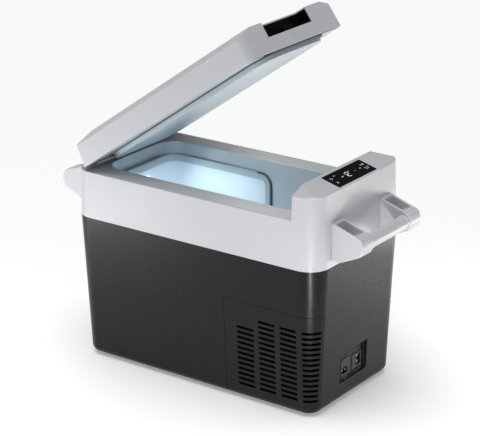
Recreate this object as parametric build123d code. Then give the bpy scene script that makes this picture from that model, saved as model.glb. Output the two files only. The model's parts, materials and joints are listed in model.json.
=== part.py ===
"""Portable compressor cooler fridge with a hinged lid, modelled as separate pieces.

Frame: millimetres, +Z up, origin on the ground under the middle of the body.
+X runs towards the control block, -Y is the front face with the air grille.
The lid is drawn closed and then turned about its hinge to its stored, open position.
"""
from build123d import *
from math import atan2, cos, radians, sin, tan
import os

os.makedirs("parts", exist_ok=True)

# ---------------------------------------------------------------- driving dimensions
PART_Z = 277.0          # joint between the dark housing and the light frame
HALF_X = 266.0          # body half length at that joint
HALF_Y = 141.5          # body half width at that joint
CORNER_R = 38.0         # vertical corner radius at that joint
LOWER_DRAFT = 0.047     # inward lean of the dark housing, mm per mm going down
UPPER_DRAFT = 0.024     # inward lean of the light frame, mm per mm going up
HOUSING_BASE = 4.0      # underside of the housing above the ground
BASE_FILLET = 13.0
WALL = 3.0

RIM_Z = 363.7           # top of the sealing rim
BLOCK_X = 214.0         # inner face of the control block
RIDGE_Z = 420.0         # top ridge of the block
SHOULDER_Z = 407.3      # where the block's sloping faces start
RIDGE_HALF_Y = 106.0
SLOPE_END_X = 262.9     # foot of the display slope

MOUTH = (-227.0, 207.0, 97.0, 38.0)      # liner mouth: low x, high x, half y, corner radius
COLLAR_Z = 339.0        # lower edge of the liner collar
SHELF_X = 11.0          # the shelf over the machine room starts here
SHELF_Z = 225.0
TUB = (-217.0, 8.0, 94.0, 24.0)          # deep tub, inside faces
TUB_FLOOR_Z = 40.0
TUB_TOP_Z = 336.0
TRIM_W = 10.0
TUB_BEND = 20.0         # radius of the tub wall's upper corner beside the shelf
SEAL_W = 2.6            # visible width of the dark seal around the tub
LINER_T = 2.5
ROOM_X = 36.0           # foam face of the machine room
ROOM_TOP_Z = 186.0

LID_Z = 366.5           # underside of the closed lid's shell
LID_LOW_X = -248.5
LID_HIGH_X = 212.5
LID_WALL = 2.5
LID_LEAN = 11.0         # lean of the lid's hinge end, degrees
PLUG_Z = 356.5          # underside of the lid's inner panel
HINGE_X = -245.5
HINGE_Z = 374.5
HINGE_Y = 111.0         # middle of each hinge along Y
HINGE_W = 22.0
PIN_R = 3.0
PIN_CLEAR = 0.06
LID_OPEN = 35.0

POCKET_Y = (-70.0, 61.0)                 # hand pocket in the lid's end
POCKET_Z = 392.0
POCKET_DEPTH = 22.0
LATCH_HALF_Y = 13.0
NOSE_HALF_Y = 9.0
NOSE_Z = (373.5, 380.5)  # catch nose of the closed lid

ARM_Y = 77.0            # middle of each handle arm
ARM_W = 35.0
GRIP_X = 314.0
GRIP_Z = 321.5
GRIP_R = 12.5

COVER_X = 69.0          # service cover: left seam
COVER_Z = (9.0, 191.5)
COVER_END_Y = -106.0
SEAM = 1.3
SLOT_PITCH = 10.0
SLOT_H = 5.0
SLOT_TOP_Z = 161.0
SLOT_ROWS = 14
SLOT_COLUMNS = ((96.0, 132.0, 2), (142.5, 177.0, 0), (187.5, 222.0, 0))
CORNER_SLOT = (233.0, 112.0)             # corner slots: start x, end distance from the middle

RECESS_Y = (-50.0, 41.0)                 # inlet recess in the right end
RECESS_Z = (36.0, 97.0)
RECESS_FLOOR_X = 249.5
AC_MID = (-22.0, 61.0)                   # middle of the mains inlet: y, z
AC_SIZE = (28.0, 32.5)
AC_CAVITY = (-2.0, -6.0)                 # its plug cavity, from the inlet's middle
AC_PIN_SPREAD = 4.3
DC_MID = (15.0, 61.5)                    # middle of the low voltage inlet
DC_SIZE = (28.0, 26.5)
DC_CAVITY = (5.0, 0.0)
DC_PIN_SPREAD = 5.5
CAVITY_DEPTH = 18.0
INLET_GAP = 1.1
SILL_DROP = 4.0          # ledge below each inlet

PANEL_X = 239.0         # middle of the display along the slope
PANEL_SIZE = (39.0, 120.0)
KEYS = {
    "power_key": (-6.5, -47.0),
    "set_key": (7.5, -47.0),
    "minus_key": (0.0, 18.0),
    "plus_key": (0.0, 34.0),
}
KEY_R = 4.5
KEY_GAP = 0.3

COMPRESSOR_MID = (112.0, 38.0)

PARTS = {}


# ---------------------------------------------------------------- shared shapes
def outline(z):
    """Half length, half width and corner radius of the body at height z."""
    if z < PART_Z:
        inward = LOWER_DRAFT * (PART_Z - z)
    else:
        inward = UPPER_DRAFT * (z - PART_Z)
    return HALF_X - inward, HALF_Y - inward, CORNER_R - inward


def body_slice(z, inset):
    half_x, half_y, radius = outline(z)
    flat = RectangleRounded(2 * (half_x - inset), 2 * (half_y - inset), radius - inset)
    return Pos(0, 0, z) * flat


def body_solid(low, high, inset):
    """The body's drafted outer form between two heights on one side of the joint."""
    return loft([body_slice(low, inset), body_slice(high, inset)], ruled=True)


def box(x, y, z):
    """A box from three (low, high) pairs."""
    size = (x[1] - x[0], y[1] - y[0], z[1] - z[0])
    return Pos((x[0] + x[1]) / 2, (y[0] + y[1]) / 2, (z[0] + z[1]) / 2) * Box(*size)


def rounded_box(x, y, z, radius):
    """A box with rounded vertical corners."""
    flat = RectangleRounded(x[1] - x[0], y[1] - y[0], radius)
    return Pos((x[0] + x[1]) / 2, (y[0] + y[1]) / 2, z[0]) * extrude(flat, z[1] - z[0])


def space(limits, z, grow):
    """A rounded box from (low x, high x, half y, radius), grown on every side."""
    low_x, high_x, half_y, radius = limits
    return rounded_box((low_x - grow, high_x + grow), (-half_y - grow, half_y + grow), z, radius + grow)


def rod(start, end, radius):
    """A round bar between two points."""
    a = Vector(*start)
    b = Vector(*end)
    plane = Plane(origin=a, z_dir=(b - a))
    return plane * extrude(Circle(radius), (b - a).length)


def side_profile(points, y, width):
    """An X-Z outline extruded along Y about a middle."""
    face = make_face(Polyline(*[(p[0], 0, p[1]) for p in points], close=True))
    solid = extrude(face, width / 2, dir=(0, 1, 0), both=True)
    return Pos(0, y, 0) * solid


def end_profile(points, low_x, high_x):
    """A Y-Z outline extruded along X."""
    face = make_face(Polyline(*[(low_x, p[0], p[1]) for p in points], close=True))
    return extrude(face, high_x - low_x, dir=(1, 0, 0))


def mirror_y(shape):
    return mirror(shape, about=Plane.XZ)


def mirror_x(shape):
    return mirror(shape, about=Plane.YZ)


def opened(shape):
    """Turn a piece of the closed lid to the stored open position."""
    return shape.rotate(Axis((HINGE_X, 0, HINGE_Z), (0, -1, 0)), LID_OPEN)


def keep(name, shape):
    """Remember one named piece; several loose solids become one compound."""
    pieces = shape if isinstance(shape, list) else [shape]
    solids = [solid for one in pieces for solid in one.solids()]
    PARTS[name] = solids[0] if len(solids) == 1 else Compound(children=list(solids))
    PARTS[name].label = name


def slot_cutters(side):
    """The grille slots on one side: three flat columns and one that wraps the corner."""
    cutters = []
    for row in range(SLOT_ROWS):
        z = SLOT_TOP_Z - row * SLOT_PITCH
        for low_x, high_x, skipped in SLOT_COLUMNS:
            if row < skipped:
                continue
            flat = Plane.XZ * RectangleRounded(high_x - low_x, SLOT_H, 1.5)
            slot = extrude(flat, 20, both=True)
            cutters.append(Pos((low_x + high_x) / 2, side * 135, z) * slot)
        low_x, end_y = CORNER_SLOT
        corner = box((low_x, 290), (end_y, 160), (z - SLOT_H / 2, z + SLOT_H / 2))
        cutters.append(corner if side > 0 else mirror_y(corner))
    return cutters


def cover_region(gap):
    """The block of space that the service cover takes out of the housing's front corner."""
    low, high = COVER_Z
    face = Plane.XZ * RectangleRounded(320 - COVER_X - 2 * gap, high - low - 2 * gap, 7)
    return Pos((COVER_X + 320) / 2, COVER_END_Y - gap, (low + high) / 2) * extrude(face, 60)


# ---------------------------------------------------------------- body shells
def housing_shell():
    outer = body_solid(HOUSING_BASE, PART_Z, 0)
    outer = fillet(outer.edges().group_by(Axis.Z)[0], BASE_FILLET)
    inner = body_solid(HOUSING_BASE + WALL, PART_Z + 0.01, WALL)
    inner = fillet(inner.edges().group_by(Axis.Z)[0], BASE_FILLET - WALL)
    return outer - inner


def make_housing():
    shell = housing_shell()
    cover = shell & cover_region(SEAM / 2)
    housing = shell - cover_region(0)
    recess = box((RECESS_FLOOR_X - 12, 290), RECESS_Y, RECESS_Z)
    housing = housing - recess
    housing = housing - slot_cutters(1)
    cover = cover - slot_cutters(-1)
    keep("lower_housing", housing)
    keep("service_cover", cover)


def block_form(drop, inset, low_x):
    """The control block's hipped form; drop lowers the faces and inset moves the sides in."""
    prism = body_solid(PART_Z, RIDGE_Z + 1, inset)
    prism = prism & box((low_x, 300), (-200, 200), (PART_Z, RIDGE_Z + 1))
    half = outline(SHOULDER_Z)[1]
    top = [(-half - 20, SHOULDER_Z - 20 * hip_slope() - drop), (-RIDGE_HALF_Y, RIDGE_Z - drop)]
    top = top + [(RIDGE_HALF_Y, RIDGE_Z - drop), (half + 20, SHOULDER_Z - 20 * hip_slope() - drop)]
    under = end_profile([(-half - 20, 200)] + top + [(half + 20, 200)], low_x - 1, 320)
    slope = [(100, 200), (100, RIDGE_Z - drop), (BLOCK_X, RIDGE_Z - drop)]
    slope = slope + [(SLOPE_END_X + 40, slope_z(SLOPE_END_X + 40) - drop), (SLOPE_END_X + 40, 200)]
    return prism & under & side_profile(slope, 0, 400)


def hip_slope():
    return (RIDGE_Z - SHOULDER_Z) / (outline(SHOULDER_Z)[1] - RIDGE_HALF_Y)


def slope_z(x):
    """Height of the display slope above a place along X."""
    return RIDGE_Z - (RIDGE_Z - SHOULDER_Z) * (x - BLOCK_X) / (SLOPE_END_X - BLOCK_X)


def slope_plane():
    lean = atan2(RIDGE_Z - SHOULDER_Z, SLOPE_END_X - BLOCK_X)
    origin = (PANEL_X, 0, slope_z(PANEL_X))
    return Plane(origin=origin, x_dir=(cos(lean), 0, -sin(lean)), z_dir=(sin(lean), 0, cos(lean)))


def make_upper_frame():
    band = body_solid(PART_Z, RIM_Z, 0)
    band = fillet(band.edges().group_by(Axis.Z)[-1], 1.0)
    outer = band + block_form(0, 0, BLOCK_X)
    hollow = body_solid(PART_Z - 0.01, RIM_Z + 0.01, WALL) & box((-300, BLOCK_X), (-200, 200), (200, 400))
    block_hollow = block_form(WALL, WALL, BLOCK_X + WALL) - box((0, 300), (-200, 200), (0, PART_Z))
    frame = outer - hollow - block_hollow
    frame = frame - box((BLOCK_X - 1, BLOCK_X + WALL), (-134, 134), (PART_Z - 1, RIM_Z - 6))
    outline = RectangleRounded(PANEL_SIZE[0] + 0.4, PANEL_SIZE[1] + 0.4, 3)
    window = slope_plane() * extrude(outline, 6, both=True)
    frame = frame - window
    strike = box((BLOCK_X - 1, BLOCK_X + WALL + 1), (-LATCH_HALF_Y - 4, LATCH_HALF_Y + 4), (369, 383))
    keep("upper_frame", frame - strike)


def make_rim():
    inset = WALL + 0.1
    low = RIM_Z - WALL
    plate = body_solid(low, RIM_Z, inset) & box((-300, BLOCK_X - 0.1), (-200, 200), (low, RIM_Z))
    keep("rim_plate", plate - space(MOUTH, (low - 1, RIM_Z + 1), LINER_T + 0.3))


def side_strips(x, y, z):
    """A box and its mirror image across the middle plane."""
    one = box(x, y, z)
    return one + mirror_y(one)


def make_liner():
    collar = space(MOUTH, (COLLAR_Z, RIM_Z), LINER_T) - space(MOUTH, (COLLAR_Z - 1, RIM_Z + 1), 0)
    low_x, high_x, half_y, radius = MOUTH
    shelf_space = (SHELF_X - 60, high_x, half_y, radius)
    well = space(shelf_space, (SHELF_Z - LINER_T, COLLAR_Z + 1), LINER_T)
    well = well - space(shelf_space, (SHELF_Z, COLLAR_Z + 2), 0)
    well = well & box((SHELF_X, 300), (-200, 200), (0, 400))
    plate_x = (SHELF_X - TUB_BEND - 6, SHELF_X + 1)
    plate_z = (COLLAR_Z - TUB_BEND - 6, COLLAR_Z)
    corner_plates = side_strips(plate_x, (half_y, half_y + LINER_T - 0.1), plate_z)
    keep("liner_upper", collar + well + corner_plates)
    make_tub()


def side_frame(edge, width, y):
    """A wall strip on both sides of the tub: along its top, round the corner and down to the shelf.

    edge is the outer edge (x, z, corner radius) and a width of 0 fills the whole wall.
    """
    low_x = TUB[1] - TUB[3] - 4
    right_x, top_z, radius = edge
    outer = bent_plate(right_x, top_z, radius, y)
    if width > 0:
        outer = outer - bent_plate(right_x - width, top_z - width, radius - width, (y[0] - 1, y[1] + 1))
    strip = outer & box((low_x, 100), (0, 200), (SHELF_Z + 0.5, 400))
    return strip + mirror_y(strip)


def bent_plate(right_x, top_z, radius, y):
    """A plate in the X-Z plane whose upper right corner is rounded."""
    long, tall = 300.0, 400.0
    face = Plane.XZ * RectangleRounded(long, tall, radius)
    return Pos(right_x - long / 2, y[1], top_z - tall / 2) * extrude(face, y[1] - y[0])


def make_tub():
    """The deep tub, open above the shelf on its right side, with its seal and trim."""
    low_x, high_x, half_y, radius = TUB
    left = box((-300, high_x - radius - 4), (-200, 200), (0, 400))
    tub = space(TUB, (TUB_FLOOR_Z - LINER_T, TUB_TOP_Z), LINER_T) - space(TUB, (TUB_FLOOR_Z, 400), 0)
    split_x = high_x - radius - 4
    shelf_under = SHELF_Z - LINER_T - 0.3
    tub = tub - box((split_x, 100), (-200, 200), (shelf_under, 400))
    tub = tub + side_strips((split_x, high_x), (half_y, half_y + LINER_T), (shelf_under, SHELF_Z + 1))
    keep("liner_tub", tub + side_frame((high_x, TUB_TOP_Z, TUB_BEND), 0, (half_y, half_y + LINER_T)))
    seal_z = (TUB_TOP_Z + 0.2, TUB_TOP_Z + 0.2 + SEAL_W)
    ring = (space(MOUTH, seal_z, 1.5) - space(TUB, (0, 400), 0.6)) & left
    seal_edge = (high_x + 0.2 + SEAL_W, seal_z[1], TUB_BEND + 0.2 + SEAL_W)
    keep("liner_seal", ring + side_frame(seal_edge, SEAL_W, (half_y + 0.4, MOUTH[2] - 0.1)))
    trim_z = (TUB_TOP_Z - TRIM_W, TUB_TOP_Z)
    trim = (space(TUB, trim_z, -0.2) - space(TUB, (0, 400), -1.4)) & left
    trim = trim + side_frame((high_x, TUB_TOP_Z, TUB_BEND), TRIM_W, (half_y - 1.4, half_y - 0.2))
    lip_z = (seal_z[1] + 0.1, seal_z[1] + 0.9)
    lip = space((low_x - 5.5, high_x, half_y + 0.6, radius), lip_z, 0) - space(TUB, (0, 400), -1.4)
    lip = lip & space(MOUTH, lip_z, -0.4)
    neck = space(TUB, (TUB_TOP_Z, lip_z[1]), 0.4) - space(TUB, (0, 400), -1.4)
    keep("tub_trim", trim + ((lip + neck) & left))


def make_body_foam():
    low = HOUSING_BASE + WALL + 0.3
    foam = body_solid(low, PART_Z, WALL + 3.3)
    foam = fillet(foam.edges().group_by(Axis.Z)[0], BASE_FILLET - WALL)
    foam = foam + body_solid(PART_Z, RIM_Z - WALL - 0.5, WALL + 3.3)
    foam = foam & box((-300, BLOCK_X - 1), (-200, 200), (low, RIM_Z))
    foam = foam - box((ROOM_X, 300), (-200, 200), (0, ROOM_TOP_Z))
    low_x, high_x, half_y, radius = MOUTH
    foam = foam - space(MOUTH, (COLLAR_Z - 6.5, 400), LINER_T + 2.0)
    foam = foam - space((SHELF_X - 50, high_x, half_y, radius), (SHELF_Z - LINER_T - 0.3, 400), LINER_T + 0.4)
    foam = foam - space(TUB, (TUB_FLOOR_Z - LINER_T - 0.3, 400), LINER_T + 3.0)
    plate_x = (SHELF_X - TUB_BEND - 7, SHELF_X + 1)
    plate_z = (COLLAR_Z - TUB_BEND - 7, 400)
    foam = foam - side_strips(plate_x, (half_y - 1, half_y + LINER_T + 0.2), plate_z)
    keep("body_foam", foam)


# ---------------------------------------------------------------- small body pieces
def make_feet():
    feet = []
    for side_x in (-1, 1):
        for side_y in (-1, 1):
            feet.append(Pos(side_x * 205, side_y * 88, 0) * extrude(Circle(13), HOUSING_BASE))
    keep("feet", feet)


def make_cover_screws():
    """Screw heads on the service cover's inner face, driven from inside the machine room."""
    heads = []
    for x, z in ((78.0, 174.0), (78.0, 30.0), (182.0, 174.0)):
        wall = -outline(z)[1] + WALL + 0.2
        heads.append(rod((x, wall, z), (x, wall + 3, z), 4.0))
    keep("service_cover_screws", heads)


def make_inlets():
    floor = RECESS_FLOOR_X
    low_y, high_y = RECESS_Y
    low_z, high_z = RECESS_Z
    cup = box((floor - 2.5, HALF_X), RECESS_Y, RECESS_Z)
    cup = cup - box((floor, HALF_X + 1), (low_y + 2, high_y - 2), (low_z + 2, high_z - 2))
    cup = cup & body_solid(HOUSING_BASE + 20, PART_Z, 0)
    for middle, size in ((AC_MID, AC_SIZE), (DC_MID, DC_SIZE)):
        width, height = size
        gap = 2 * INLET_GAP
        opening_y = centred(middle[0], width + gap)
        opening_z = centred(middle[1], height + gap)
        cup = cup - box((floor - 5, floor + 1), opening_y, opening_z)
        sill_z = middle[1] - height / 2 - SILL_DROP
        cup = cup + box((floor, floor + 2.5), centred(middle[0], width - 6), (sill_z - 1.6, sill_z))
    keep("inlet_panel", cup)
    round_cavity = SlotOverall(20, 12.5)
    keyed_cavity = RectangleRounded(15, 20, 1) - make_face(Polyline((-8, -4), (-3, 0), (-8, 4), close=True))
    keep("ac_inlet", inlet_body(AC_MID, AC_SIZE, Pos(*AC_CAVITY) * round_cavity))
    keep("dc_inlet", inlet_body(DC_MID, DC_SIZE, Pos(*DC_CAVITY) * keyed_cavity))
    ac_y = AC_MID[0] + AC_CAVITY[0]
    ac_z = AC_MID[1] + AC_CAVITY[1]
    dc_y = DC_MID[0] + DC_CAVITY[0]
    dc_z = DC_MID[1] + DC_CAVITY[1]
    keep("ac_inlet_pins", [contact_pin(ac_y + side * AC_PIN_SPREAD, ac_z, 1.6) for side in (-1, 1)])
    keep("dc_inlet_pins", [contact_pin(dc_y, dc_z + side * DC_PIN_SPREAD, 2.2) for side in (-1, 1)])


def centred(middle, size):
    return middle - size / 2, middle + size / 2


def inlet_body(middle, size, cavity):
    """A socket block with a flange behind the panel and a plug cavity open towards +X."""
    floor = RECESS_FLOOR_X
    width, height = size
    body = box((floor - 22, floor + 1), centred(middle[0], width), centred(middle[1], height))
    flange_y = centred(middle[0], width + 6)
    flange_z = centred(middle[1], height + 6)
    body = body + box((floor - 5, floor - 2.5), flange_y, flange_z)
    plane = Plane(origin=(floor + 1, *middle), x_dir=(0, 1, 0), z_dir=(1, 0, 0))
    return body - plane * extrude(cavity, -CAVITY_DEPTH)


def contact_pin(y, z, radius):
    floor = RECESS_FLOOR_X
    return rod((floor + 1 - CAVITY_DEPTH, y, z), (floor - 1.5, y, z), radius)


def arm_top_z(x):
    """Height of the handle arm's top edge."""
    return 357.0 - (x - 264.0) * 19.0 / 58.0


def handle_arm():
    """One arm of the right handle at y = 0: falling top, rounded nose, rising underside."""
    line = Polyline((255, 287.5), (283, 288.5), (302, 297), (322, 306.5))
    nose = ThreePointArc((322, 306.5), (327.6, 320), (322, arm_top_z(322)))
    back = Polyline((322, arm_top_z(322)), (264, arm_top_z(264)), (255, arm_top_z(264)), (255, 287.5))
    arm = extrude(make_face(Plane.XZ * (line + nose + back)), ARM_W / 2, both=True)
    scoop = [(271, arm_top_z(271) - 34), (271, 380), (313, 380), (313, arm_top_z(313))]
    return arm - side_profile(scoop, 0, ARM_W - 9)


def make_handles():
    band = body_solid(PART_Z, RIM_Z, 0)
    arm = handle_arm()
    for side, word in ((-1, "front"), (1, "rear")):
        right = (Pos(0, side * ARM_Y, 0) * arm) - band
        keep("handle_arm_right_" + word, right)
        keep("handle_arm_left_" + word, mirror_x(right))
    reach = ARM_Y - ARM_W / 2
    grip = rod((GRIP_X, -reach, GRIP_Z), (GRIP_X, reach, GRIP_Z), GRIP_R)
    for side in (-1, 1):
        collar_start = (GRIP_X, side * (reach - 5), GRIP_Z)
        grip = grip + rod(collar_start, (GRIP_X, side * reach, GRIP_Z), GRIP_R + 1.2)
    keep("grip_right", grip)
    keep("grip_left", mirror_x(grip))
    keep("handle_screws", handle_screws())


def handle_screws():
    """Screw heads inside the frame's end walls, two behind each arm."""
    screws = []
    for side_x in (-1, 1):
        for side_y in (-1, 1):
            for z in (300.0, 342.0):
                wall = outline(z)[0] - WALL - 0.2
                head = (side_x * wall, side_y * ARM_Y, z)
                screws.append(rod(head, (side_x * (wall - 3), side_y * ARM_Y, z), 4.0))
    return screws


def make_display():
    plane = slope_plane()
    panel = plane * extrude(RectangleRounded(*PANEL_SIZE, 3), -2.0)
    outline = RectangleRounded(PANEL_SIZE[0] - 3, PANEL_SIZE[1] - 3, 2)
    board = plane * (Pos(0, 0, -5.6) * extrude(outline, 1.6))
    for name, (along, across) in KEYS.items():
        hole = plane * (Pos(along, across, -4) * extrude(Circle(KEY_R + KEY_GAP), 8))
        panel = panel - hole
        cap = plane * (Pos(along, across, -2.9) * extrude(Circle(KEY_R), 2.9))
        keep(name, cap)
    keep("display_panel", panel)
    keep("display_board", board)


# ---------------------------------------------------------------- cooling machine
def make_machine():
    tray = box((44, 238), (-112, 112), (HOUSING_BASE + WALL + 1, HOUSING_BASE + WALL + 2.5))
    keep("base_tray", tray)
    tray_top = HOUSING_BASE + WALL + 2.5
    can = compressor_can(tray_top + 12, 118, 56, 26) - compressor_can(tray_top + 15, 112, 53, 23)
    keep("compressor_can", can)
    keep("compressor_motor", Pos(*COMPRESSOR_MID, tray_top + 16) * extrude(Circle(34), 74))
    terminal = box((168.3, 182), (22, 54), (tray_top + 50, tray_top + 88))
    keep("compressor_terminal_box", terminal)
    grommets = []
    for side_x in (-1, 1):
        for side_y in (-1, 1):
            foot_x = COMPRESSOR_MID[0] + side_x * 30
            foot_y = COMPRESSOR_MID[1] + side_y * 30
            post = Pos(foot_x, foot_y, tray_top) * extrude(Circle(9), 12)
            grommets.append(post)
    keep("compressor_grommets", grommets)
    make_condenser(tray_top)
    make_fan()
    heat_sink = box((196, 200), (50, 104), (60, 160))
    for row in range(8):
        z = 66 + row * 12.0
        heat_sink = heat_sink + box((184, 196), (50, 104), (z, z + 2.5))
    keep("controller_heat_sink", heat_sink)
    keep("control_board", box((200.2, 202.2), (46, 108), (56, 164)))


def compressor_can(low, height, radius, shoulder):
    can = Pos(*COMPRESSOR_MID, low) * extrude(Circle(radius), height)
    can = fillet(can.edges().group_by(Axis.Z)[-1], shoulder)
    return fillet(can.edges().group_by(Axis.Z)[0], shoulder / 2)


def make_condenser(tray_top):
    """A tube and fin block behind the front grille."""
    low_x, high_x = 92.0, 222.0
    low_y, high_y = -118.0, -98.0
    pieces = None
    count = 19
    for step in range(count):
        x = low_x + step * (high_x - low_x - 1.2) / (count - 1)
        fin = box((x, x + 1.2), (low_y, high_y), (tray_top, 160))
        pieces = fin if pieces is None else pieces + fin
    for row in range(6):
        z = 26 + row * 24.0
        pieces = pieces + rod((low_x - 4, -108, z), (high_x + 4, -108, z), 4.0)
    keep("condenser", pieces)


def make_fan():
    x, z, low_y, high_y = 157.0, 88.0, -97.0, -72.0
    frame = box(centred(x, 112), (low_y, high_y), centred(z, 112))
    frame = frame - rod((x, low_y - 1, z), (x, high_y + 1, z), 52)
    hub = rod((x, high_y - 5, z), (x, high_y, z), 20)
    for turn in range(3):
        angle = radians(90 + 120 * turn)
        end = (x + 54 * cos(angle), high_y - 2.5, z + 54 * sin(angle))
        hub = hub + rod((x, high_y - 2.5, z), end, 2.4)
    bore = rod((x, high_y - 6, z), (x, high_y - 1, z), 2.06)
    keep("fan_frame", frame + hub - bore)
    spin = rod((x, low_y + 3, z), (x, high_y - 6, z), 21) + rod((x, high_y - 6, z), (x, high_y - 1.5, z), 2)
    blade_plan = box((-1.1, 1.1), (-7, 7), (18, 49))
    for turn in range(7):
        blade = blade_plan.rotate(Axis.Z, 38).rotate(Axis.Y, 360 / 7 * turn)
        spin = spin + (Pos(x, (low_y + high_y) / 2 - 1, z) * blade)
    keep("fan_impeller", spin)


def make_cold_side():
    wrap = space(TUB, (80, 200), LINER_T + 1.8) - space(TUB, (0, 400), LINER_T + 0.3)
    keep("evaporator", wrap)
    keep("interior_light", box((-216.9, -213.9), (-20, 20), (304, 314)))
    keep("temperature_sensor", box((-216.9, -213.4), (50, 58), (120, 140)))
    bends = [(112, 0, 139.5), (112, 0, 164), (60, -60, 164), (60, -108, 164), (60, -108, 146), (84, -108, 146)]
    line = FilletPolyline(*bends, radius=7)
    keep("discharge_line", sweep(Plane(origin=(112, 0, 139.5), z_dir=(0, 0, 1)) * Circle(3), path=line))
    line = FilletPolyline((96, 60, 139.5), (96, 60, 172), (36.6, 60, 172), radius=8)
    keep("suction_line", sweep(Plane(origin=(96, 60, 139.5), z_dir=(0, 0, 1)) * Circle(4), path=line))


# ---------------------------------------------------------------- lid
def lid_form(inset):
    """The closed lid's outer form, moved in by inset on every side but the bottom."""
    low, high = LID_Z, RIDGE_Z + 0.5
    lean = (high - low) * tan(radians(LID_LEAN))
    faces = []
    for z, shift in ((low, 0.0), (high, lean)):
        low_x = LID_LOW_X + shift + inset
        high_x = LID_HIGH_X - inset
        half_y = outline(z)[1] - inset
        flat = RectangleRounded(high_x - low_x, 2 * half_y, 14 - inset)
        faces.append(Pos((low_x + high_x) / 2, 0, z) * flat)
    form = loft(faces, ruled=True)
    half = outline(SHOULDER_Z)[1]
    foot = SHOULDER_Z - 20 * hip_slope() - inset
    ridge = RIDGE_Z - inset
    top = [(-half - 20, foot), (-RIDGE_HALF_Y, ridge), (RIDGE_HALF_Y, ridge), (half + 20, foot)]
    under = end_profile([(-half - 20, 200)] + top + [(half + 20, 200)], -300, 300)
    ramp = [(-260, 200), (-260, SHOULDER_Z - 8 - inset), (-214, ridge), (300, ridge), (300, 200)]
    return form & under & side_profile(ramp, 0, 400)


def hinge_notches(gap):
    """The room in the lid's corner around both hinge brackets."""
    half = HINGE_W / 2 + gap
    one = box((-262, HINGE_X + 12), (HINGE_Y - half, HINGE_Y + half), (LID_Z - 6, HINGE_Z + 12))
    return one + mirror_y(one)


def pocket_space():
    return box((LID_HIGH_X - POCKET_DEPTH, 240), POCKET_Y, (POCKET_Z, 440))


def make_lid_shells():
    shell = lid_form(0) - lid_form(LID_WALL)
    cap_x = LID_HIGH_X - LID_WALL
    cut = box((cap_x, 300), (-200, 200), (300, 500))
    top = shell - cut - pocket_space() - hinge_notches(1.5)
    for y in (-HINGE_Y, HINGE_Y):
        reach = HINGE_W / 2 + 6.5
        top = top - rod((HINGE_X, y - reach, HINGE_Z), (HINGE_X, y + reach, HINGE_Z), PIN_R + 0.4)
    keep("lid_outer", opened(top))
    cap = (lid_form(0) & cut) - pocket_space()
    low_y, high_y = POCKET_Y
    back_x = LID_HIGH_X - POCKET_DEPTH
    cup = box((back_x - 2, cap_x), (low_y - 2, high_y + 2), (POCKET_Z - 2, RIDGE_Z - 1))
    cup = (cup & lid_form(LID_WALL + 0.1)) - pocket_space()
    cup = cup - box((back_x - 3, cap_x), (low_y - 3, high_y + 3), (RIDGE_Z - LID_WALL - 0.2, 440))
    low_z, high_z = NOSE_Z
    nose_slot = box((cap_x - 1, 240), (-NOSE_HALF_Y - 0.3, NOSE_HALF_Y + 0.3), (low_z - 0.3, high_z + 0.3))
    slot_x = (LID_HIGH_X - 20, LID_HIGH_X - 3.5)
    slider_slot = box(slot_x, centred(0, 2 * LATCH_HALF_Y - 5), (380, POCKET_Z + 1))
    keep("lid_end_cap", opened(cap - nose_slot))
    keep("lid_pocket_cup", opened(cup - slider_slot))


def make_latch():
    """A sprung finger tab in the pocket with its catch nose below."""
    tab = box((198, 206), (-LATCH_HALF_Y, LATCH_HALF_Y), (POCKET_Z + 0.3, POCKET_Z + 9))
    tab = fillet(tab.edges().group_by(Axis.Z)[-1], 1.5)
    stem = box((198.5, 205.5), (-LATCH_HALF_Y + 3, LATCH_HALF_Y - 3), (NOSE_Z[0], POCKET_Z + 1))
    keep("latch_slider", opened(tab + stem))
    nose = box((205.5, LID_HIGH_X + 0.6), (-NOSE_HALF_Y, NOSE_HALF_Y), NOSE_Z)
    nose = chamfer(nose.faces().sort_by(Axis.X)[-1].edges(), 0.8)
    keep("latch_nose", opened(nose))
    strike = box((BLOCK_X + 0.4, BLOCK_X + WALL), (-LATCH_HALF_Y - 3.9, LATCH_HALF_Y + 3.9), (369.1, 382.9))
    window = box((BLOCK_X - 1, BLOCK_X + WALL - 1), (-LATCH_HALF_Y + 1, LATCH_HALF_Y - 1), (373, 381))
    keep("latch_strike", strike - window)


def make_lid_inside():
    low_x, high_x, half_y, radius = MOUTH
    plug = (low_x + 5, high_x - 4, half_y - 3, radius - 3)
    tray = space(plug, (PLUG_Z, LID_Z + 2.5), 0) - space(plug, (PLUG_Z + LINER_T, LID_Z + 3), -LINER_T)
    plate = lid_form(LID_WALL + 0.1) & box((-225, LID_HIGH_X - 14), (-200, 200), (LID_Z, LID_Z + 2.5))
    groove = gasket_ring(0.1, LID_Z - 1, LID_Z + 1.6)
    panel = (plate - space(plug, (300, 400), -0.5)) + tray
    keep("lid_inner_panel", opened(panel - groove))
    keep("lid_gasket", opened(gasket_ring(0.0, RIM_Z + 0.25, LID_Z + 1.5)))
    foam_x = (-225, LID_HIGH_X - POCKET_DEPTH - 3)
    foam = lid_form(LID_WALL + 0.4) & box(foam_x, (-200, 200), (LID_Z + 2.8, 440))
    foam = foam + space(plug, (PLUG_Z + LINER_T + 0.2, LID_Z + 4), -LINER_T - 0.3)
    keep("lid_foam", opened(foam))


def gasket_ring(grow, low, high):
    seat = (MOUTH[0] + 1, MOUTH[1] - 4.7, MOUTH[2] - 1, MOUTH[3])
    return space(seat, (low, high), 7.5 + grow) - space(seat, (low - 1, high + 1), 3.5 - grow)


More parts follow.
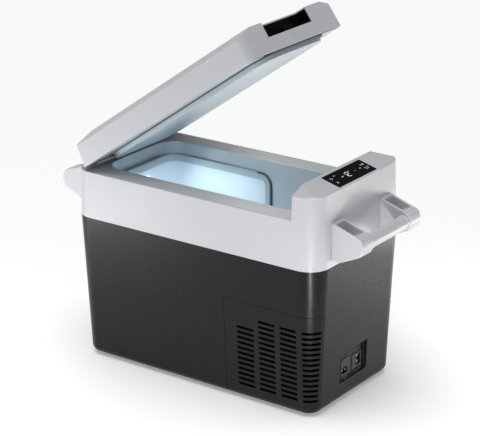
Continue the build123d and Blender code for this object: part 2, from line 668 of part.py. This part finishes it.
def make_hinges():
    half = HINGE_W / 2
    pins = []
    for side, word in ((-1, "front"), (1, "rear")):
        y = side * HINGE_Y
        knuckle = rod((HINGE_X, y - half, HINGE_Z), (HINGE_X, y + half, HINGE_Z), 7)
        web = box((HINGE_X - 7, HINGE_X + 7), (y - half, y + half), (RIM_Z, HINGE_Z))
        base = box((-256, HINGE_X + 7), (y - half, y + half), (RIM_Z, RIM_Z + 3))
        bore = rod((HINGE_X, y - half - 1, HINGE_Z), (HINGE_X, y + half + 1, HINGE_Z), PIN_R)
        bracket = (base + web + knuckle) - bore
        keep("hinge_bracket_" + word, bracket)
        keep("lid_hinge_" + word, opened(lid_hinge(y)))
        pins.append(rod((HINGE_X, y - half - 6, HINGE_Z), (HINGE_X, y + half + 6, HINGE_Z), PIN_R))
    keep("hinge_pins", pins)


def lid_hinge(y):
    """Two cheeks and a bridge, fixed inside the lid, that turn on one hinge pin."""
    half = HINGE_W / 2
    span = (HINGE_X - 5.5, HINGE_X + 20)
    cheeks = box(span, (y - half - 6, y - half - 0.3), (LID_Z, HINGE_Z + 15))
    cheeks = cheeks + box(span, (y + half + 0.3, y + half + 6), (LID_Z, HINGE_Z + 15))
    bridge = box((HINGE_X + 8, HINGE_X + 20), (y - half - 6, y + half + 6), (LID_Z, HINGE_Z + 15))
    hole = rod((HINGE_X, y - half - 7, HINGE_Z), (HINGE_X, y + half + 7, HINGE_Z), PIN_R + PIN_CLEAR)
    return ((cheeks + bridge) & lid_form(LID_WALL + 0.1)) - hole


# ---------------------------------------------------------------- build and export
make_housing()
make_upper_frame()
make_rim()
make_liner()
make_body_foam()
make_feet()
make_cover_screws()
make_inlets()
make_handles()
make_display()
make_machine()
make_cold_side()
make_lid_shells()
make_latch()
make_lid_inside()
make_hinges()

for node_name, piece in PARTS.items():
    export_step(piece, "parts/" + node_name + ".step")
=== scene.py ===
"""Compressor cooler fridge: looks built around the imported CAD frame, in metres."""

import json
import math

import bmesh
import bpy
from mathutils import Matrix, Vector


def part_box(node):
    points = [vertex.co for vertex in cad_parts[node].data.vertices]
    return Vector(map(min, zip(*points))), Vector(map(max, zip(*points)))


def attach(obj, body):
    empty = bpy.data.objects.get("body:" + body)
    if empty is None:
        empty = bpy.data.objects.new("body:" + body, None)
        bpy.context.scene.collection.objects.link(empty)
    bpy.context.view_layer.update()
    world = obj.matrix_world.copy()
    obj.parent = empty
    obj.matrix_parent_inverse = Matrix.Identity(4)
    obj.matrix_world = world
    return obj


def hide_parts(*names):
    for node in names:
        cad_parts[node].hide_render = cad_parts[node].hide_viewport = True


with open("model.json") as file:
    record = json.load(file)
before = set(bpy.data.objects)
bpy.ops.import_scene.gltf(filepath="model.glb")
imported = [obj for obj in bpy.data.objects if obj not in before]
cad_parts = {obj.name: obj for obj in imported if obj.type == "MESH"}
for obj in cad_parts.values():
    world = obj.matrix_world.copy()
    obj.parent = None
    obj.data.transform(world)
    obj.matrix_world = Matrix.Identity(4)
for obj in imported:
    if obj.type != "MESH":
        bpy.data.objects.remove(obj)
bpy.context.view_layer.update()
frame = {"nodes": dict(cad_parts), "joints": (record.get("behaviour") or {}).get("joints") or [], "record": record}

MM = 0.001
CAMERA_AZIMUTH, CAMERA_ELEVATION, CAMERA_ROLL = 35.77, 20.29, -0.34     # degrees
CAMERA_DISTANCE = 3.5384
CAMERA_SHIFT = 0.00604                  # the aim point lies this far right of the middle
CAMERA_AIM_HEIGHT = 0.28143
LENS_MM = 147.05
FLOOR_HALF_SIZE = 40.0
NODES = frame["nodes"]
BODY_OF_NODE = {}
for body_name, members in frame["record"]["behaviour"]["bodies"].items():
    for member in members:
        BODY_OF_NODE[member] = body_name
SLOT_OF_NODE = {row["node"]: row["material_slot"] for row in frame["record"]["subparts"]}


# ---------------------------------------------------------------- camera, floor and light
def aim(obj, target):
    """Turn an object so that its -Z axis looks at a target, with +Y upwards."""
    obj.rotation_euler = (Vector(target) - obj.location).to_track_quat("-Z", "Y").to_euler()


def make_camera():
    azimuth = math.radians(CAMERA_AZIMUTH)
    elevation = math.radians(CAMERA_ELEVATION)
    roll = math.radians(CAMERA_ROLL)
    back = Vector((
        math.sin(azimuth) * math.cos(elevation),
        -math.cos(azimuth) * math.cos(elevation),
        math.sin(elevation),
    ))
    right = Vector((math.cos(azimuth), math.sin(azimuth), 0))
    up = back.cross(right)
    tilted_right = right * math.cos(roll) + up * math.sin(roll)
    tilted_up = up * math.cos(roll) - right * math.sin(roll)
    target = tilted_right * CAMERA_SHIFT + Vector((0, 0, CAMERA_AIM_HEIGHT))
    data = bpy.data.cameras.new("camera")
    data.sensor_width = 36
    data.lens = LENS_MM
    data.clip_end = 100
    camera = bpy.data.objects.new("camera", data)
    bpy.context.collection.objects.link(camera)
    turn = Matrix((tilted_right, tilted_up, back)).transposed().to_4x4()
    camera.matrix_world = Matrix.Translation(target + back * CAMERA_DISTANCE) @ turn
    bpy.context.scene.camera = camera


def make_floor():
    mesh = bpy.data.meshes.new("floor")
    size = FLOOR_HALF_SIZE
    corners = [(-size, -size, 0), (size, -size, 0), (size, size, 0), (-size, size, 0)]
    mesh.from_pydata(corners, [], [(0, 1, 2, 3)])
    floor = bpy.data.objects.new("floor", mesh)
    bpy.context.collection.objects.link(floor)
    material = bpy.data.materials.new("floor_white")
    material.use_nodes = True
    shader = material.node_tree.nodes["Principled BSDF"]
    shader.inputs["Base Color"].default_value = (0.93, 0.93, 0.93, 1)
    shader.inputs["Roughness"].default_value = 0.7
    shader.inputs["Specular IOR Level"].default_value = 0.2
    shader.inputs["Emission Color"].default_value = (1, 1, 1, 1)
    shader.inputs["Emission Strength"].default_value = 0.20
    mesh.materials.append(material)


# name: (place, target, size, power); the low cards are what the smooth walls mirror
STUDIO_LIGHTS = {
    "front_box": ((-0.6, -2.6, 1.2), (0, -0.1, 0.25), (1.6, 1.2), 3),
    "left_card": ((-0.60, -0.55, 0.10), (-0.27, -0.14, 0.24), (0.42, 0.12), 1.7),
    "corner_card": ((0.55, -0.53, 0.055), (0.25, -0.13, 0.22), (0.10, 0.08), 1.7),
    "right_card": ((0.56, 0.56, 0.10), (0.26, 0.10, 0.24), (0.42, 0.12), 1.5),
}


def area_light(name, place, target, size, power, colour=(1, 1, 1)):
    data = bpy.data.lights.new(name, "AREA")
    data.shape = "RECTANGLE"
    data.size, data.size_y = size
    data.energy = power
    data.color = colour
    light = bpy.data.objects.new(name, data)
    bpy.context.collection.objects.link(light)
    light.location = place
    aim(light, target)
    return light


def make_light():
    world = bpy.data.worlds.new("studio")
    world.use_nodes = True
    shade = world.node_tree.nodes["Background"]
    shade.inputs["Color"].default_value = (0.96, 0.98, 1, 1)
    shade.inputs["Strength"].default_value = 0.24
    bpy.context.scene.world = world
    data = bpy.data.lights.new("overhead", "SUN")
    data.energy = 1.84
    data.angle = math.radians(50)
    overhead = bpy.data.objects.new("overhead", data)
    bpy.context.collection.objects.link(overhead)
    overhead.location = (-0.15, -0.3, 3)
    aim(overhead, (0, 0, 0))
    for name, setting in STUDIO_LIGHTS.items():
        area_light(name, *setting)
    bpy.context.scene.view_settings.view_transform = "Standard"


# ---------------------------------------------------------------- materials
NOISE_LOW, NOISE_HIGH = 0.3, 0.7        # the part of a noise's range that carries its contrast
DRIFT_SCALE, PATCH_SCALE, TARNISH_SCALE = 7, 26, 40      # cycles per metre


def new_material(name):
    material = bpy.data.materials.new(name)
    material.use_nodes = True
    return material, material.node_tree, material.node_tree.nodes["Principled BSDF"]


def add_node(tree, kind, **values):
    node = tree.nodes.new(kind)
    for key, value in values.items():
        if key in node.inputs:
            node.inputs[key].default_value = value
        else:
            setattr(node, key, value)
    return node


def noise(tree, scale, detail=3.0, stretch=(1, 1, 1)):
    """Noise in the object's own coordinates; scale counts cycles per metre."""
    place = add_node(tree, "ShaderNodeTexCoord")
    mapping = add_node(tree, "ShaderNodeMapping", Scale=stretch)
    texture = add_node(tree, "ShaderNodeTexNoise", Scale=scale, Detail=detail)
    tree.links.new(place.outputs["Object"], mapping.inputs["Vector"])
    tree.links.new(mapping.outputs["Vector"], texture.inputs["Vector"])
    return texture.outputs["Fac"]


def spread(tree, value, low, high):
    """Map a 0 to 1 noise onto a range."""
    node = add_node(tree, "ShaderNodeMapRange")
    node.inputs["From Min"].default_value = NOISE_LOW
    node.inputs["From Max"].default_value = NOISE_HIGH
    node.inputs["To Min"].default_value = low
    node.inputs["To Max"].default_value = high
    tree.links.new(value, node.inputs["Value"])
    return node.outputs["Result"]


def plastic(name, colour, roughness, grain=1400, depth=0.00006, mottle=0.04, specular=0.5):
    """Moulded plastic: spark-eroded grain, slow colour drift and roughness patches."""
    material, tree, shader = new_material(name)
    drift = noise(tree, DRIFT_SCALE, 4)
    mix = add_node(tree, "ShaderNodeMix", data_type="RGBA")
    darker = [c * (1 - mottle) for c in colour] + [1]
    lighter = [min(1, c * (1 + mottle)) for c in colour] + [1]
    mix.inputs["A"].default_value = darker
    mix.inputs["B"].default_value = lighter
    tree.links.new(spread(tree, drift, 0, 1), mix.inputs["Factor"])
    tree.links.new(mix.outputs["Result"], shader.inputs["Base Color"])
    patches = noise(tree, PATCH_SCALE, 5)
    tree.links.new(spread(tree, patches, roughness - 0.015, roughness + 0.02), shader.inputs["Roughness"])
    shader.inputs["Specular IOR Level"].default_value = specular
    if depth > 0:
        bump = add_node(tree, "ShaderNodeBump", Strength=0.6, Distance=depth)
        tree.links.new(noise(tree, grain, 2), bump.inputs["Height"])
        tree.links.new(bump.outputs["Normal"], shader.inputs["Normal"])
    return material


def metal(name, colour, roughness, stretch=(1, 1, 1), scale=300, depth=0.00003):
    """Bare metal with fine scratches."""
    material, tree, shader = new_material(name)
    shader.inputs["Metallic"].default_value = 1
    scratches = noise(tree, scale, 4, stretch)
    tree.links.new(spread(tree, scratches, roughness - 0.07, roughness + 0.1), shader.inputs["Roughness"])
    mix = add_node(tree, "ShaderNodeMix", data_type="RGBA")
    mix.inputs["A"].default_value = [c * 0.9 for c in colour] + [1]
    mix.inputs["B"].default_value = [min(1, c * 1.06) for c in colour] + [1]
    tree.links.new(spread(tree, noise(tree, TARNISH_SCALE, 3), 0, 1), mix.inputs["Factor"])
    tree.links.new(mix.outputs["Result"], shader.inputs["Base Color"])
    bump = add_node(tree, "ShaderNodeBump", Strength=0.4, Distance=depth)
    tree.links.new(scratches, bump.inputs["Height"])
    tree.links.new(bump.outputs["Normal"], shader.inputs["Normal"])
    return material


def glowing(name, colour, strength):
    material, tree, shader = new_material(name)
    shader.inputs["Base Color"].default_value = (*colour, 1)
    shader.inputs["Emission Color"].default_value = (*colour, 1)
    shader.inputs["Emission Strength"].default_value = strength
    shader.inputs["Roughness"].default_value = 0.5
    return material


def glossy_black(name):
    material = plastic(name, (0.003, 0.003, 0.004), 0.14, grain=60, depth=0.000004, mottle=0.2)
    shader = material.node_tree.nodes["Principled BSDF"]
    shader.inputs["Specular IOR Level"].default_value = 0.055
    return material


def make_materials():
    return {
        "charcoal_shell": plastic(
            "charcoal_shell", (0.0065, 0.0064, 0.0076), 0.27, depth=0.00005, specular=0.20),
        "light_shell": plastic(
            "light_shell", (0.55, 0.553, 0.572), 0.38, depth=0.00004, mottle=0.012, specular=0.35),
        "grip_plastic": plastic("grip_plastic", (0.56, 0.565, 0.58), 0.36, depth=0.00003, mottle=0.02),
        "rim_grey": plastic("rim_grey", (0.47, 0.465, 0.47), 0.38, depth=0.00003, mottle=0.03),
        "liner_blue_grey": plastic("liner_blue_grey", (0.52, 0.59, 0.63), 0.34, depth=0.00002, mottle=0.02),
        "liner_frame": plastic("liner_frame", (0.42, 0.50, 0.54), 0.34, depth=0.00002, mottle=0.02),
        # lid_panel_grey is a darker copy of the liner blue-grey: painted shade on the underside of the lid
        "lid_panel_grey": plastic("lid_panel_grey", (0.46, 0.52, 0.56), 0.36, depth=0.00002, mottle=0.02),
        # liner_pale is a paler copy of the liner blue-grey: painted lamp light on the tub walls, on top of the
        # real tub lamps
        "liner_pale": plastic("liner_pale", (0.70, 0.80, 0.87), 0.32, depth=0.00002, mottle=0.015),
        "foam": plastic("foam", (0.33, 0.32, 0.31), 0.9, grain=500, depth=0.0004, mottle=0.1),
        # seal_rubber is dark so that the seal ring paints the shadow line in the gap between the collar and the
        # tub trim
        "seal_rubber": plastic("seal_rubber", (0.085, 0.10, 0.11), 0.6, grain=900, mottle=0.1),
        "gasket_rubber": plastic("gasket_rubber", (0.10, 0.103, 0.11), 0.5, grain=900, mottle=0.06),
        "black_plastic": glossy_black("black_plastic"),
        "socket_black": plastic("socket_black", (0.014, 0.014, 0.015), 0.5, mottle=0.1),
        "key_black": glossy_black("key_black"),
        "circuit_board": plastic("circuit_board", (0.02, 0.11, 0.05), 0.35, grain=200, mottle=0.15),
        "steel": metal("steel", (0.6, 0.6, 0.61), 0.3, (1, 1, 12)),
        "compressor_black": glossy_black("compressor_black"),
        # aluminium is near black, so the condenser behind the grille slots paints the shade inside them
        "aluminium": metal("aluminium", (0.03, 0.03, 0.032), 0.5),
        "copper": metal("copper", (0.72, 0.36, 0.22), 0.3),
        "contact_metal": metal("contact_metal", (0.36, 0.355, 0.34), 0.32),
        "sensor_white": plastic("sensor_white", (0.7, 0.7, 0.7), 0.5),
        "lamp_lens": glowing("lamp_lens", (0.80, 0.93, 1.0), 2.0),
    }


MATERIALS = make_materials()
# lighter materials for the bevel faces: partly wear, partly a painted highlight along every hard edge
WORN_AND_HIGHLIGHT_EDGES = {
    "charcoal_shell": plastic("charcoal_edge", (0.045, 0.045, 0.048), 0.30, mottle=0.3, specular=0.35),
    "light_shell": plastic("light_edge", (0.63, 0.635, 0.65), 0.34, depth=0.00003, mottle=0.05),
    "grip_plastic": plastic("grip_edge", (0.64, 0.645, 0.66), 0.32, depth=0.00003, mottle=0.05),
    "rim_grey": plastic("rim_edge", (0.56, 0.555, 0.56), 0.32, depth=0.00003, mottle=0.05),
    "socket_black": plastic("socket_edge", (0.06, 0.06, 0.062), 0.4, mottle=0.2),
}
ICON = glowing("display_icon", (0.70, 0.74, 0.76), 0.22)


# ---------------------------------------------------------------- pieces
WELD_DISTANCE = 0.000004
FLAT_ANGLE = 0.4                        # degrees; facets flatter than this are joined


def new_piece(name, bm, smooth_angle=35):
    mesh = bpy.data.meshes.new(name)
    bm.to_mesh(mesh)
    bm.free()
    for polygon in mesh.polygons:
        polygon.use_smooth = True
    mesh.set_sharp_from_angle(angle=math.radians(smooth_angle))
    piece = bpy.data.objects.new(name, mesh)
    bpy.context.collection.objects.link(piece)
    return piece


def apply_modifiers(piece):
    graph = bpy.context.evaluated_depsgraph_get()
    mesh = bpy.data.meshes.new_from_object(piece.evaluated_get(graph))
    piece.modifiers.clear()
    old = piece.data
    piece.data = mesh
    bpy.data.meshes.remove(old)


def refine(node, width_mm, angle, segments=2):
    """A copy of a CAD node with its hard edges rounded and coloured lighter, partly as wear and partly as a
    painted highlight, which stands for the node.
    """
    bm = bmesh.new()
    bm.from_mesh(NODES[node].data)
    bmesh.ops.remove_doubles(bm, verts=bm.verts, dist=WELD_DISTANCE)
    bmesh.ops.dissolve_limit(bm, angle_limit=math.radians(FLAT_ANGLE), verts=bm.verts, edges=bm.edges)
    piece = new_piece(node + "_moulded", bm)
    slot_name = SLOT_OF_NODE[node]
    piece.data.materials.append(MATERIALS[slot_name])
    piece.data.materials.append(WORN_AND_HIGHLIGHT_EDGES.get(slot_name, MATERIALS[slot_name]))
    bevel = piece.modifiers.new("rounding", "BEVEL")
    bevel.width = width_mm * MM
    bevel.segments = segments
    bevel.limit_method = "ANGLE"
    bevel.angle_limit = math.radians(angle)
    bevel.use_clamp_overlap = True
    # the bevel faces take the lighter edge material: a painted edge highlight as well as wear
    bevel.material = 1
    bevel.miter_outer = "MITER_ARC"
    weighted = piece.modifiers.new("flat_faces", "WEIGHTED_NORMAL")
    weighted.keep_sharp = True
    weighted.weight = 80
    apply_modifiers(piece)
    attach(piece, BODY_OF_NODE[node])
    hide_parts(node)


ROUNDING_MM = {
    "lower_housing": 0.5,
    "service_cover": 0.4,
    "upper_frame": 1.6,
    "rim_plate": 0.5,
    "liner_upper": 0.8,
    "liner_tub": 0.6,
    "inlet_panel": 0.4,
    "ac_inlet": 0.35,
    "dc_inlet": 0.35,
    "handle_arm_left_front": 1.6,
    "handle_arm_left_rear": 1.6,
    "handle_arm_right_front": 1.6,
    "handle_arm_right_rear": 1.6,
    "grip_left": 0.6,
    "grip_right": 0.6,
    "display_panel": 0.25,
    "power_key": 0.25,
    "set_key": 0.25,
    "minus_key": 0.25,
    "plus_key": 0.25,
    "hinge_bracket_front": 0.5,
    "hinge_bracket_rear": 0.5,
    "lid_hinge_front": 0.5,
    "lid_hinge_rear": 0.5,
    "lid_outer": 1.0,
    "lid_end_cap": 0.6,
    "lid_pocket_cup": 0.4,
    "lid_inner_panel": 0.8,
    "lid_gasket": 0.4,
    "latch_slider": 0.5,
    "latch_nose": 0.3,
    "tub_trim": 0.25,
    "liner_seal": 0.2,
    "latch_strike": 0.2,
    "service_cover_screws": 0.15,
    "feet": 0.8,
    "fan_frame": 0.5,
    "fan_impeller": 0.3,
    "compressor_terminal_box": 1.0,
    "condenser": 0.1,
    "interior_light": 0.6,
}


HARD_EDGE_ANGLE = 32                                # degrees; a blunter edge stays as it is
SOFT_NODES = {"upper_frame": 14, "lid_outer": 14}   # nodes whose blunt edges are rounded too


def dress_nodes():
    """Round the nodes that show and give every other node its material."""
    for node, obj in NODES.items():
        if node in ROUNDING_MM:
            refine(node, ROUNDING_MM[node], SOFT_NODES.get(node, HARD_EDGE_ANGLE))
        else:
            obj.data.materials.clear()
            obj.data.materials.append(MATERIALS[SLOT_OF_NODE[node]])


# ---------------------------------------------------------------- display icons
ICON_HEIGHT = 0.00006
ICON_LINE = 0.0007
WINDOW_LIFT = 0.001                     # from the middle of the display window to its face
FIGURE_LIFT = 0.00003
FIGURE_SIZE = 0.013
KEY_BAR = 0.0044                        # length of the bars of the plus and minus icons
KEY_LIFT = 0.00147                      # from the middle of a key to just over its face
POWER_RING = 0.0024                     # radius of the power icon's ring, and its bar's length
SET_BAR, SET_PITCH = 0.0040, 0.0016     # length and spacing of the three bars of the set icon


def slope_frame():
    """Origin, down-slope axis and outward normal of the display."""
    low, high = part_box("display_panel")
    press = next(Vector(j["axis"]) for j in frame["joints"] if j["name"] == "power_key_press")
    normal = -press
    down = Vector((normal.z, 0, -normal.x))
    middle = Vector(((low.x + high.x) / 2, 0, (low.z + high.z) / 2)) + normal * WINDOW_LIFT
    return middle, down, normal


def bar(bm, centre, along, across, length, width, normal):
    """A low rounded bar lying on a surface."""
    points = []
    radius = width / 2
    straight = max(length / 2 - radius, 0)
    for side in (1, -1):
        for step in range(7):
            angle = -math.pi / 2 + math.pi * step / 6
            along_offset = side * (straight + radius * math.cos(angle))
            across_offset = side * radius * math.sin(angle)
            points.append(centre + along * along_offset + across * across_offset)
    low = [bm.verts.new(p) for p in points]
    high = [bm.verts.new(p + normal * ICON_HEIGHT) for p in points]
    bm.faces.new(low[::-1])
    bm.faces.new(high)
    for k in range(len(points)):
        j = (k + 1) % len(points)
        bm.faces.new((low[k], low[j], high[j], high[k]))


SEGMENTS = {
    "1": "bc",
    "2": "abged",
    "-": "g",
}


def digit(bm, mark, centre, right, up, normal, size):
    """A seven-segment figure."""
    width, height, line = size * 0.5, size, size * 0.13
    places = {
        "a": ((0, height / 2), True), "g": ((0, 0), True), "d": ((0, -height / 2), True),
        "f": ((-width / 2, height / 4), False), "b": ((width / 2, height / 4), False),
        "e": ((-width / 2, -height / 4), False), "c": ((width / 2, -height / 4), False),
    }
    for name in SEGMENTS[mark]:
        (dx, dy), flat = places[name]
        place = centre + right * dx + up * dy
        if flat:
            bar(bm, place, right, up, width * 0.8, line, normal)
        else:
            bar(bm, place, up, right, height * 0.42, line, normal)


def arc_bars(bm, centre, right, up, normal, radius, start, end, line, count=14):
    """A ring or part of one, made of short bars."""
    step = (end - start) / count
    for k in range(count):
        angle = math.radians(start + step * (k + 0.5))
        out = right * math.sin(angle) + up * math.cos(angle)
        along = right * math.cos(angle) - up * math.sin(angle)
        length = radius * math.radians(abs(step)) * 1.25
        bar(bm, centre + out * radius, along, out, length, line, normal)


def key_middle(node, normal):
    """A point just over the middle of a key's face."""
    low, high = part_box(node)
    return (low + high) / 2 + normal * KEY_LIFT


def icon_piece(name, bm, body):
    """A lit mark that rides the body it is printed on."""
    piece = new_piece(name, bm)
    piece.data.materials.append(ICON)
    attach(piece, body)


def make_icons():
    middle, down, normal = slope_frame()
    right, up = Vector((0, 1, 0)), -down
    line = ICON_LINE
    bm = bmesh.new()
    centre = key_middle("power_key", normal)
    arc_bars(bm, centre, right, up, normal, POWER_RING, 40, 320, line)
    bar(bm, centre + up * 0.0020, up, right, POWER_RING, line, normal)
    icon_piece("power_icon", bm, "power_key_cap")
    bm = bmesh.new()
    centre = key_middle("set_key", normal)
    for row in (-1, 0, 1):
        bar(bm, centre + up * row * SET_PITCH, right, up, SET_BAR, line, normal)
    icon_piece("set_icon", bm, "set_key_cap")
    bm = bmesh.new()
    bar(bm, key_middle("minus_key", normal), right, up, KEY_BAR, line, normal)
    icon_piece("minus_icon", bm, "minus_key_cap")
    bm = bmesh.new()
    centre = key_middle("plus_key", normal)
    bar(bm, centre, right, up, KEY_BAR, line, normal)
    bar(bm, centre, up, right, KEY_BAR, line, normal)
    icon_piece("plus_icon", bm, "plus_key_cap")
    bm = bmesh.new()
    surface = middle + normal * FIGURE_LIFT
    for mark, place in (("-", -0.021), ("1", -0.0125), ("2", -0.004)):
        digit(bm, mark, surface + right * place, right, up, normal, FIGURE_SIZE)
    for step in range(3):
        place = surface + right * (0.044 + step * 0.004) + up * 0.006
        bar(bm, place, up, right, 0.003 + step * 0.0015, 0.0012, normal)
    bar(bm, surface + right * 0.048 - up * 0.004, right, up, 0.014, line, normal)
    bar(bm, surface + right * 0.047 - up * 0.008, right, up, 0.010, line, normal)
    arc_bars(bm, surface + right * 0.0042 + up * 0.0055, right, up, normal, 0.0011, 0, 360, 0.0005, 8)
    bar(bm, surface - right * 0.033 + up * 0.010, right, up, 0.006, line, normal)
    icon_piece("display_figures", bm, "cabinet")


# ---------------------------------------------------------------- tub light
# place, target, size, power and colour
MOUTH_FILL = ((-0.01, 0.05, 0.50), (0.05, 0.06, 0.30), (0.16, 0.14), 0.2)
TUB_FILL = ((-0.10, 0, 0.335), (-0.10, 0.02, 0.0), (0.15, 0.13), 0.15, (0.86, 0.95, 1.0))
MOUTH_NODES = ("rim_plate", "liner_upper", "liner_tub", "tub_trim", "liner_seal")


def light_only(light, nodes):
    """Keep a lamp's light on a few pieces, so that the closed lid shows no hot spot."""
    lit = bpy.data.collections.new(light.name + "_receivers")
    for node in nodes:
        lit.objects.link(bpy.data.objects[node + "_moulded"])
    light.light_linking.receiver_collection = lit


def make_tub_light():
    """The glow of the interior lamp and the light it spreads in the open mouth."""
    low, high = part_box("interior_light")
    middle = (low + high) / 2
    lamp_place = (middle.x + 0.012, 0, middle.z - 0.01)
    area_light("tub_lamp", lamp_place, (0.0, 0.0, 0.10), (0.02, 0.12), 0.12, (0.82, 0.93, 1.0))
    mouth_fill = area_light("mouth_fill", *MOUTH_FILL)
    light_only(mouth_fill, MOUTH_NODES)
    area_light("tub_fill", *TUB_FILL)


make_camera()
make_floor()
make_light()
dress_nodes()
make_icons()
make_tub_light()
